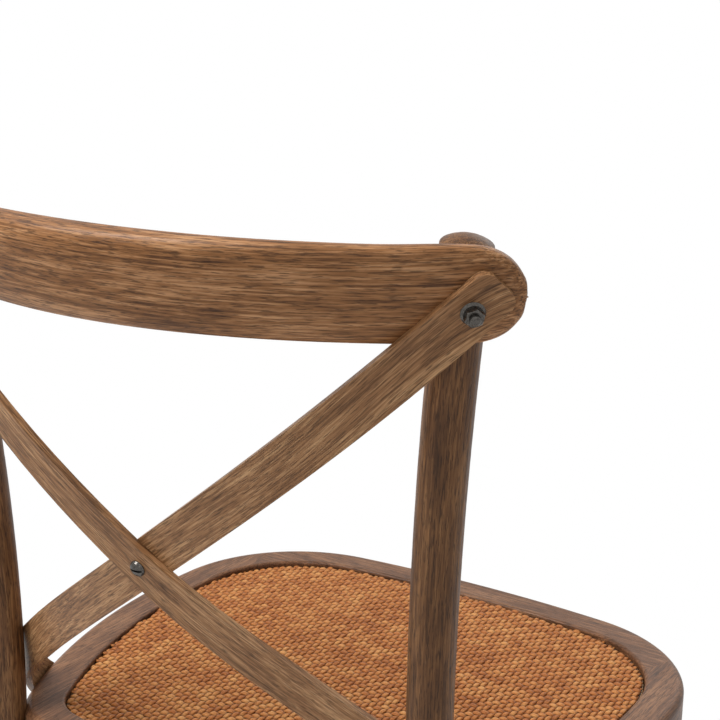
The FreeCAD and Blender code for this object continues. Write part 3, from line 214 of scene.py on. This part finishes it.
def backing(outline, finish):
    """A dark sheet under the weave, painted shade seen through the gaps between the strands: rings shrunk
    from the outline to its middle, under the crown, on a flat base."""
    middle = outline.mean(axis=0)
    shares = np.array(BACKING_SHARES)
    away = np.linalg.norm(outline - middle, axis=1)[:, None]
    inner = outline + (middle - outline) * BACKING_EDGE_GAP / away
    plan = middle + shares[:, None, None] * (inner - middle)
    top = np.concatenate([plan, (crown(plan[..., 0], plan[..., 1]) - BACKING_DROP)[..., None]], axis=2)
    base = np.concatenate([plan[-1:], np.full((1, len(outline), 1), PANEL_BOTTOM + BACKING_BASE)], axis=2)
    rings = np.concatenate([top, base])
    sides = len(outline)
    index = 1 + np.arange(len(rings) * sides).reshape(len(rings), sides)
    beside = np.roll(index, -1, axis=1)
    quads = np.stack([index[:-1], index[1:], beside[1:], beside[:-1]], axis=2).reshape(-1, 4)
    fan = np.stack([np.zeros(sides, int), index[0], beside[0]], axis=1)
    peak = np.array([[*middle, crown(*middle) - BACKING_DROP]])
    piece = make_piece("weave_backing", np.concatenate([peak, rings.reshape(-1, 3)]),
                       [fan, quads, index[-1:, ::-1]], finish, smooth=False)
    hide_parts("rattan_panel")
    return piece


# Materials

def linear(colour):
    """An sRGB hex colour as linear RGBA."""
    parts = [int(colour[start:start + 2], 16) / 255 for start in (1, 3, 5)]
    return (*[part / 12.92 if part <= 0.04045 else ((part + 0.055) / 1.055) ** 2.4 for part in parts], 1.0)


def add(tree, kind, inputs=None, stops=None, **settings):
    """One node: its settings, its inputs as values or as outputs to link, and the colours of a ramp."""
    node = tree.nodes.new("ShaderNode" + kind)
    for name, value in settings.items():
        setattr(node, name, value)
    for name, value in (inputs or {}).items():
        if isinstance(value, bpy.types.NodeSocket):
            tree.links.new(value, node.inputs[name])
        else:
            node.inputs[name].default_value = value
    while stops and len(node.color_ramp.elements) < len(stops):
        node.color_ramp.elements.new(1.0)
    for element, (place, colour) in zip(node.color_ramp.elements if stops else [], stops or []):
        element.position = place
        element.color = linear(colour)
    return node


def new_material(name):
    """An empty node material, with its tree and its output node."""
    material = bpy.data.materials.new(name)
    material.use_nodes = True
    tree = material.node_tree
    tree.nodes.clear()
    return material, tree, add(tree, "OutputMaterial")


def grain_line(tree, node, axis, degree):
    """Coordinates that follow a piece's grain, in millimetres: along one axis, and away from its middle line.
    The middle line is a polynomial through the piece's own corners: two coordinates against the first."""
    points = corners(node) / MM
    split = add(tree, "SeparateXYZ", {0: add(tree, "TexCoord").outputs["Object"]})
    along = add(tree, "Math", {0: split.outputs[axis], 1: 1 / MM}, operation="MULTIPLY").outputs[0]
    hundreds = add(tree, "Math", {0: along, 1: 0.01}, operation="MULTIPLY").outputs[0]
    parts = [along]
    for other in [(axis + 1) % 3, (axis + 2) % 3]:
        terms = [float(term) for term in np.polyfit(points[:, axis] / 100, points[:, other], degree)]
        middle = terms[0]
        for term in terms[1:]:
            middle = add(tree, "Math", {0: middle, 1: hundreds, 2: term}, operation="MULTIPLY_ADD").outputs[0]
        place = add(tree, "Math", {0: split.outputs[other], 1: 1 / MM}, operation="MULTIPLY").outputs[0]
        parts.append(add(tree, "Math", {0: place, 1: middle}, operation="SUBTRACT").outputs[0])
    return add(tree, "CombineXYZ", dict(enumerate(parts))).outputs[0]


# Power of the curve that an arch's grain follows: 2 is an ellipse, and more is squarer
ARCH_POWER = 4.0


def grain_arch(tree, node, axis):
    """Coordinates that follow a bent arch, in millimetres: the angle round the middle of its base times its
    height, and the distance from its outer edge, on curves of equal |x/a|^n + |z/b|^n."""
    low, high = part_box(node)
    split = add(tree, "SeparateXYZ", {0: add(tree, "TexCoord").outputs["Object"]})
    spans = []
    for number, middle, half in [(axis, (low[axis] + high[axis]) / 2, (high[axis] - low[axis]) / 2),
                                 (2, low.z, high.z - low.z)]:
        place = add(tree, "Math", {0: split.outputs[number], 1: middle}, operation="SUBTRACT").outputs[0]
        spans.append(add(tree, "Math", {0: place, 1: half}, operation="DIVIDE").outputs[0])
    powers = []
    for span in spans:
        size = add(tree, "Math", {0: span}, operation="ABSOLUTE").outputs[0]
        powers.append(add(tree, "Math", {0: size, 1: ARCH_POWER}, operation="POWER").outputs[0])
    total = add(tree, "Math", {0: powers[0], 1: powers[1]}, operation="ADD").outputs[0]
    ring = add(tree, "Math", {0: total, 1: 1 / ARCH_POWER}, operation="POWER").outputs[0]
    angle = add(tree, "Math", {0: spans[0], 1: spans[1]}, operation="ARCTAN2").outputs[0]
    height = (high.z - low.z) / MM
    along = add(tree, "Math", {0: angle, 1: height}, operation="MULTIPLY").outputs[0]
    across = add(tree, "Math", {0: ring, 1: height}, operation="MULTIPLY").outputs[0]
    depth = add(tree, "Math", {0: split.outputs[1 - axis], 1: 1 / MM}, operation="MULTIPLY").outputs[0]
    return add(tree, "CombineXYZ", {0: along, 1: across, 2: depth}).outputs[0]


# Sizes of the oak's figure, in millimetres: along the grain and across it
RING_WIDTH = 3.4
PITH = (0.0, 26.0, -34.0)
RING_BEND = (240.0, 22.0)
RING_BEND_DEPTH = 9.0
FIBRE = (30.0, 1.3)
PORE = (9.0, 0.7)
BOARD_TONE = (70.0, 14.0)
# Shares of the fibres and of the board's slow changes in the figure, and of the stain's colour in a pore
FIBRE_SHARE = 0.72
BOARD_SHARE = 0.38
PORE_SHARE = 0.62
# Each piece is cut from another stretch of the wood: a stretch's step along the grain, and how many there are
STRETCH = 31.0
STRETCHES = 97
OAK_ROUGHNESS = (0.38, 0.56)
OAK_RELIEF = 0.25 * MM


def stained_oak(node, coordinates, tone):
    """Oak, planed, stained brown and given a satin lacquer: growth rings, fine fibres, and open pores as dark
    dashes. The stain sinks into the pores, and the lacquer gives a soft gloss."""
    material, tree, output = new_material("stained_oak_" + node)
    grain = coordinates(tree)
    stretch = STRETCH * (sum(node.encode()) % STRETCHES)
    grain = add(tree, "VectorMath", {0: grain, 1: (stretch, 0.0, 0.0)}, operation="ADD").outputs[0]
    noises = {}
    for name, size, detail in [("bend", RING_BEND, 2.0), ("fibre", FIBRE, 3.0), ("pore", PORE, 2.0),
                               ("board", BOARD_TONE, 3.0)]:
        scale = (1 / size[0], 1 / size[1], 1 / size[1])
        scaled = add(tree, "VectorMath", {0: grain, 1: scale}, operation="MULTIPLY").outputs[0]
        noises[name] = add(tree, "TexNoise", {"Vector": scaled, "Scale": 1.0, "Detail": detail,
                                              "Roughness": 0.55}).outputs["Fac"]
    from_pith = add(tree, "VectorMath", {0: grain, 1: PITH}, operation="SUBTRACT").outputs[0]
    from_pith = add(tree, "VectorMath", {0: from_pith, 1: (0.0, 1.0, 1.0)}, operation="MULTIPLY").outputs[0]
    distance = add(tree, "VectorMath", {0: from_pith}, operation="LENGTH").outputs["Value"]
    distance = add(tree, "Math", {0: noises["bend"], 1: RING_BEND_DEPTH, 2: distance},
                   operation="MULTIPLY_ADD").outputs[0]
    phase = add(tree, "Math", {0: distance, 1: 1 / RING_WIDTH}, operation="MULTIPLY").outputs[0]
    ring = add(tree, "Math", {0: phase}, operation="FRACT").outputs[0]
    shade = add(tree, "ValToRGB", {0: ring}, [(0.0, "#9c9c9c"), (0.25, "#c4c4c4"), (0.7, "#d2d2d2"),
                                              (0.93, "#8c8c8c"), (1.0, "#9c9c9c")]).outputs[0]
    figure = add(tree, "Mix", {0: FIBRE_SHARE, 2: shade, 3: noises["fibre"]}, data_type="FLOAT").outputs[0]
    figure = add(tree, "Mix", {0: BOARD_SHARE, 2: figure, 3: noises["board"]}, data_type="FLOAT").outputs[0]
    wood = add(tree, "ValToRGB", {0: figure}, [(0.38, tone[2]), (0.5, tone[1]), (0.62, tone[0])]).outputs[0]
    pores = add(tree, "ValToRGB", {0: noises["pore"]}, [(0.52, "#000000"), (0.62, "#ffffff")]).outputs[0]
    dark = add(tree, "Math", {0: pores, 1: PORE_SHARE}, operation="MULTIPLY").outputs[0]
    colour = add(tree, "Mix", {0: dark, 6: wood, 7: linear(tone[3])}, data_type="RGBA").outputs[2]
    roughness = add(tree, "MapRange", {0: noises["fibre"], 3: OAK_ROUGHNESS[0],
                                       4: OAK_ROUGHNESS[1]}).outputs[0]
    relief = add(tree, "Math", {0: noises["fibre"], 1: 0.35, 2: noises["board"]},
                 operation="MULTIPLY_ADD").outputs[0]
    relief = add(tree, "Math", {0: relief, 1: pores}, operation="SUBTRACT").outputs[0]
    bump = add(tree, "Bump", {"Strength": 0.35, "Distance": OAK_RELIEF, "Height": relief}).outputs[0]
    shader = add(tree, "BsdfPrincipled", {"Base Color": colour, "Roughness": roughness, "Normal": bump,
                                          "IOR": 1.5, "Specular IOR Level": 0.2, "Coat Weight": 0.06,
                                          "Coat Roughness": 0.2})
    tree.links.new(shader.outputs[0], output.inputs["Surface"])
    return material


# Size of the bare wood's flecks, in millimetres: along the grain and across it
FLECK = (9.0, 0.7)
PLY_CONTRAST = 0.06


def pale_wood(name, colours, axis, ply=None):
    """Beech dowels or birch plywood, sanded and left bare: a pale even wood with short fine flecks.
    Where a ply's thickness is given, the layers show on a sawn edge."""
    material, tree, output = new_material(name)
    place = add(tree, "TexCoord").outputs["Object"]
    scale = [1 / (FLECK[1] * MM)] * 3
    scale[axis] = 1 / (FLECK[0] * MM)
    scaled = add(tree, "VectorMath", {0: place, 1: scale}, operation="MULTIPLY").outputs[0]
    fleck = add(tree, "TexNoise", {"Vector": scaled, "Scale": 1.0, "Detail": 3.0}).outputs["Fac"]
    if ply:
        height = add(tree, "SeparateXYZ", {0: place}).outputs[2]
        layer = add(tree, "Math", {0: height, 1: math.pi / ply}, operation="MULTIPLY").outputs[0]
        layer = add(tree, "Math", {0: layer}, operation="SINE").outputs[0]
        fleck = add(tree, "Math", {0: layer, 1: PLY_CONTRAST, 2: fleck}, operation="MULTIPLY_ADD").outputs[0]
    colour = add(tree, "ValToRGB", {0: fleck}, [(0.35, colours[0]), (0.65, colours[1])]).outputs[0]
    bump = add(tree, "Bump", {"Strength": 0.2, "Distance": 0.1 * MM, "Height": fleck}).outputs[0]
    shader = add(tree, "BsdfPrincipled", {"Base Color": colour, "Roughness": 0.62, "Normal": bump})
    tree.links.new(shader.outputs[0], output.inputs["Surface"])
    return material


# Sizes of the strands' pattern, in millimetres: along a strand and across it
STREAK = (9.0, 0.5)
STAIN = 16.0
STAIN_SHARE = 0.45
OWN_TONE_SHARE = 0.1
REED_ROUGHNESS = (0.45, 0.62)
# Heights in a strand's wave, from -1 to 1, between which the painted shade of a dip fades out
PAINTED_SHADE_BELOW = -0.3
UNSHADED_ABOVE = 0.95


def rattan(name, axis):
    """Rattan core, split, soaked and woven, then oiled: an orange-brown reed with fine streaks along it.
    Each strand has its own tone, the oil darkens it in patches, and painted shade darkens its dips between
    the floats."""
    material, tree, output = new_material(name)
    place = add(tree, "TexCoord").outputs["Object"]
    scale = [1 / (STREAK[1] * MM)] * 3
    scale[axis] = 1 / (STREAK[0] * MM)
    scaled = add(tree, "VectorMath", {0: place, 1: scale}, operation="MULTIPLY").outputs[0]
    streak = add(tree, "TexNoise", {"Vector": scaled, "Scale": 1.0, "Detail": 3.0}).outputs["Fac"]
    stain = add(tree, "TexNoise", {"Vector": place, "Scale": 1 / (STAIN * MM), "Detail": 4.0,
                                   "Roughness": 0.6}).outputs["Fac"]
    own = add(tree, "Attribute", attribute_name="strand_tone").outputs["Fac"]
    mixed = add(tree, "Mix", {0: STAIN_SHARE, 2: streak, 3: stain}, data_type="FLOAT").outputs[0]
    mixed = add(tree, "Mix", {0: OWN_TONE_SHARE, 2: mixed, 3: own}, data_type="FLOAT").outputs[0]
    reed = add(tree, "ValToRGB", {0: mixed},
               [(0.34, "#8a4e26"), (0.48, "#c0763c"), (0.62, "#dda060")]).outputs[0]
    height = add(tree, "Attribute", attribute_name="strand_height").outputs["Fac"]
    clear = add(tree, "MapRange", {0: height, 1: PAINTED_SHADE_BELOW, 2: UNSHADED_ABOVE},
                interpolation_type="SMOOTHSTEP").outputs[0]
    # Painted shade: the reed turns near black where the strand dips under its neighbours
    colour = add(tree, "Mix", {0: clear, 6: linear("#3c1d0c"), 7: reed}, data_type="RGBA").outputs[2]
    bump = add(tree, "Bump", {"Strength": 0.4, "Distance": 0.2 * MM, "Height": streak}).outputs[0]
    roughness = add(tree, "MapRange", {0: streak, 3: REED_ROUGHNESS[0], 4: REED_ROUGHNESS[1]}).outputs[0]
    shader = add(tree, "BsdfPrincipled", {"Base Color": colour, "Roughness": roughness, "Normal": bump,
                                          "Specular IOR Level": 0.25})
    tree.links.new(shader.outputs[0], output.inputs["Surface"])
    return material


# How far a plain surface's roughness varies to either side
ROUGHNESS_SPREAD = 0.08


def fine_surface(name, colours, grit, metallic, roughness, depth):
    """A plain surface with a fine grain: blackened steel of the fasteners, nylon of the glides, and the dark
    sheet of painted shade under the weave.
    The grit breaks up the gloss, and its colour varies a little between the two given."""
    material, tree, output = new_material(name)
    place = add(tree, "TexCoord").outputs["Object"]
    grain = add(tree, "TexNoise", {"Vector": place, "Scale": 1 / grit, "Detail": 4.0}).outputs["Fac"]
    colour = add(tree, "ValToRGB", {0: grain}, [(0.35, colours[0]), (0.65, colours[1])]).outputs[0]
    rough = add(tree, "MapRange", {0: grain, 3: roughness - ROUGHNESS_SPREAD,
                                   4: roughness + ROUGHNESS_SPREAD}).outputs[0]
    bump = add(tree, "Bump", {"Strength": 0.3, "Distance": depth, "Height": grain}).outputs[0]
    shader = add(tree, "BsdfPrincipled", {"Base Color": colour, "Metallic": metallic, "Roughness": rough,
                                          "Normal": bump})
    tree.links.new(shader.outputs[0], output.inputs["Surface"])
    return material


# Oak tones: light, middle, dark, and the colour of the pores
RAIL_TONE = ("#c8966a", "#98683f", "#5e3b20", "#221206")
SLAT_TONE = ("#c89c70", "#9c704a", "#6c492c", "#2e1b0c")
# The legs' tone is darker than the back's: painted shade, for legs that stand in shade
LEG_PAINTED_SHADE_TONE = ("#946a43", "#6e4a2c", "#4a2f19", "#211206")
SEAT_TONE = ("#9a7050", "#785238", "#563823", "#28170c")

# Oak pieces: the axis that the grain follows, the degree of its middle line, and the tone
OAK = {
    "crest_rail": (0, 6, RAIL_TONE),
    "cross_slat_left": (0, 6, SLAT_TONE), "cross_slat_right": (0, 6, SLAT_TONE),
    # The legs take the darker tone, with its painted shade
    "rear_leg_left": (2, 3, LEG_PAINTED_SHADE_TONE), "rear_leg_right": (2, 3, LEG_PAINTED_SHADE_TONE),
    "front_leg_left": (2, 0, LEG_PAINTED_SHADE_TONE), "front_leg_right": (2, 0, LEG_PAINTED_SHADE_TONE),
    "seat_rail_front": (0, 0, SEAT_TONE), "seat_rail_rear": (0, 0, SEAT_TONE),
    "seat_rail_left": (1, 0, SEAT_TONE), "seat_rail_right": (1, 0, SEAT_TONE),
}
# Arches: the level axis in each one's plane
ARCHES = {"arch_front": 0, "arch_rear": 0, "arch_left": 1, "arch_right": 1}


def dress(node, material):
    """Put a material on a CAD node, in place of its plain one."""
    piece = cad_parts[node]
    if not piece.material_slots:
        piece.data.materials.append(material)
    for place in piece.material_slots:
        place.material = material


for node, (axis, degree, tone) in OAK.items():
    dress(node, stained_oak(node, lambda tree: grain_line(tree, node, axis, degree), tone))
# The arches take the legs' darker tone, with its painted shade
for node, axis in ARCHES.items():
    dress(node, stained_oak(node, lambda tree: grain_arch(tree, node, axis), LEG_PAINTED_SHADE_TONE))
dress("seat_dowels", pale_wood("beech_dowel", ("#b28a5e", "#caa678"), 0))
dress("seat_board", pale_wood("birch_plywood", ("#a98256", "#c4a072"), 0, ply=1.5 * MM))

blackened_steel = fine_surface("blackened_steel", ("#403d3a", "#605c57"), 0.8 * MM, 0.9, 0.24, 0.05 * MM)
for node in ["crest_bolts", "crest_nuts", "crossing_screw", "crossing_nut", "slat_foot_screws", "leg_bolts",
             "arch_leg_screws", "arch_seat_screws", "board_screws"]:
    dress(node, blackened_steel)
dress("leg_glides", fine_surface("moulded_nylon", ("#1c1b1a", "#282624"), 0.6 * MM, 0.0, 0.55, 0.05 * MM))

# The woven panel
outline = panel_outline()
half_columns = int(np.ptp(outline[:, 0]) / 2 / COLUMN_PITCH) + 1
half_rows = int(np.ptp(outline[:, 1]) / 2 / ROW_PITCH) + 2
column_reed = rattan("rattan_columns", 1)
row_reed = rattan("rattan_rows", 0)
weave("weave_columns_right", 1, range(-half_columns, 0), column_reed, outline)
weave("weave_columns_left", 1, range(0, half_columns + 1), column_reed, outline)
weave("weave_rows_front", 0, range(-half_rows, 0), row_reed, outline)
weave("weave_rows_rear", 0, range(0, half_rows + 1), row_reed, outline)
# The sheet under the weave is near black: painted shade for the gaps between the strands
backing(outline, fine_surface("painted_shade_sheet", ("#2a1a10", "#3c2718"), 0.9 * MM, 0.0, 0.85, 0.1 * MM))

# Camera: its place and turns fitted to the photograph, whose sides are 720 pixels long
CAMERA = Vector((-0.6368, 0.9389, 1.0522))
CAMERA_TURN = math.radians(212.46)
CAMERA_DOWN = math.radians(15.563)
CAMERA_ROLL = math.radians(1.019)
FOCAL_PIXELS = 1661.4
IMAGE_PIXELS = 720
SENSOR = 36.0

backwards = Vector((math.sin(CAMERA_TURN) * math.cos(CAMERA_DOWN),
                    -math.cos(CAMERA_TURN) * math.cos(CAMERA_DOWN), math.sin(CAMERA_DOWN)))
level = Vector((math.cos(CAMERA_TURN), math.sin(CAMERA_TURN), 0.0))
rightwards = level * math.cos(CAMERA_ROLL) + backwards.cross(level) * math.sin(CAMERA_ROLL)
upwards = backwards.cross(rightwards)
camera = bpy.data.objects.new("camera", bpy.data.cameras.new("camera"))
camera.data.sensor_width = SENSOR
camera.data.lens = FOCAL_PIXELS / IMAGE_PIXELS * SENSOR
camera.data.clip_start = 0.01
camera.data.clip_end = 50.0
turned = Matrix((rightwards, upwards, backwards)).transposed().to_4x4()
camera.matrix_world = Matrix.Translation(CAMERA) @ turned
bpy.context.scene.collection.objects.link(camera)
bpy.context.scene.camera = camera


# Floor, world and lamps

def shown_to_camera(tree, light, shown):
    """A mix of two shaders: the camera, reflections and clear materials see the one that is shown, and the
    rest of the light comes from the other."""
    path = add(tree, "LightPath")
    seen = add(tree, "Math", {0: path.outputs["Is Camera Ray"], 1: path.outputs["Is Glossy Ray"]},
               operation="MAXIMUM").outputs[0]
    seen = add(tree, "Math", {0: seen, 1: path.outputs["Is Transmission Ray"]},
               operation="MAXIMUM").outputs[0]
    return add(tree, "MixShader", {0: seen, 1: light, 2: shown}).outputs[0]


WORLD_LIGHT = 0.3
world = bpy.data.worlds.new("pale_studio")
world.use_nodes = True
world.node_tree.nodes.clear()
surround = add(world.node_tree, "Background", {"Color": linear("#ffffff"), "Strength": WORLD_LIGHT})
behind = add(world.node_tree, "Background", {"Color": linear("#ffffff"), "Strength": 1.0}).outputs[0]
sky = add(world.node_tree, "OutputWorld")
shown = shown_to_camera(world.node_tree, surround.outputs[0], behind)
world.node_tree.links.new(shown, sky.inputs["Surface"])
bpy.context.scene.world = world

FLOOR_HALF = 6.0
FLOOR_DROP = 0.3 * MM
# The floor shows the chair's shadow near it, a little lifted, and fades to plain white farther out
SHADOW_LIFT = 0.4
SHADOW_REACH = (0.5, 0.9)
paint, paint_tree, paint_output = new_material("white_floor_paint")
spot = add(paint_tree, "TexCoord").outputs["Object"]
mottle = add(paint_tree, "TexNoise", {"Vector": spot, "Scale": 3.0}).outputs["Fac"]
shade = add(paint_tree, "ValToRGB", {0: mottle}, [(0.3, "#f2f2f2"), (0.7, "#f6f6f6")]).outputs[0]
matt = add(paint_tree, "BsdfDiffuse", {"Color": shade}).outputs[0]
lift = add(paint_tree, "Emission", {"Color": linear("#ffffff"), "Strength": SHADOW_LIFT}).outputs[0]
lit = add(paint_tree, "AddShader", {0: matt, 1: lift}).outputs[0]
glow = add(paint_tree, "Emission", {"Color": linear("#ffffff"), "Strength": 1.0}).outputs[0]
away = add(paint_tree, "VectorMath", {0: spot}, operation="LENGTH").outputs["Value"]
fade = add(paint_tree, "MapRange", {0: away, 1: SHADOW_REACH[0], 2: SHADOW_REACH[1]},
           interpolation_type="SMOOTHSTEP").outputs[0]
seen_floor = add(paint_tree, "MixShader", {0: fade, 1: lit, 2: glow}).outputs[0]
paint_tree.links.new(shown_to_camera(paint_tree, matt, seen_floor), paint_output.inputs["Surface"])
floor_mesh = bpy.data.meshes.new("floor")
floor_mesh.from_pydata([(-FLOOR_HALF, -FLOOR_HALF, -FLOOR_DROP), (FLOOR_HALF, -FLOOR_HALF, -FLOOR_DROP),
                        (FLOOR_HALF, FLOOR_HALF, -FLOOR_DROP), (-FLOOR_HALF, FLOOR_HALF, -FLOOR_DROP)],
                       [], [(0, 1, 2, 3)])
floor_mesh.materials.append(paint)
floor = bpy.data.objects.new("floor", floor_mesh)
bpy.context.scene.collection.objects.link(floor)


def softbox(name, place, aim, size, power):
    """A square area lamp at a place, turned to an aim point."""
    lamp = bpy.data.lights.new(name, "AREA")
    lamp.shape = "SQUARE"
    lamp.size = size
    lamp.energy = power
    holder = bpy.data.objects.new(name, lamp)
    holder.location = place
    holder.rotation_euler = (Vector(aim) - Vector(place)).to_track_quat("-Z", "Y").to_euler()
    bpy.context.scene.collection.objects.link(holder)


# The key is above and behind the chair, the fill is lower behind it, and the front lamp lights its other side
softbox("key", (0.9, 1.0, 2.6), (0.0, 0.0, 0.6), 1.0, 52.0)
softbox("fill", (-1.2, 2.0, 1.5), (0.0, 0.0, 0.5), 1.6, 5.0)
softbox("front", (0.0, -2.4, 2.0), (0.0, 0.0, 0.5), 1.6, 12.0)

bpy.context.scene.view_settings.view_transform = "Standard"
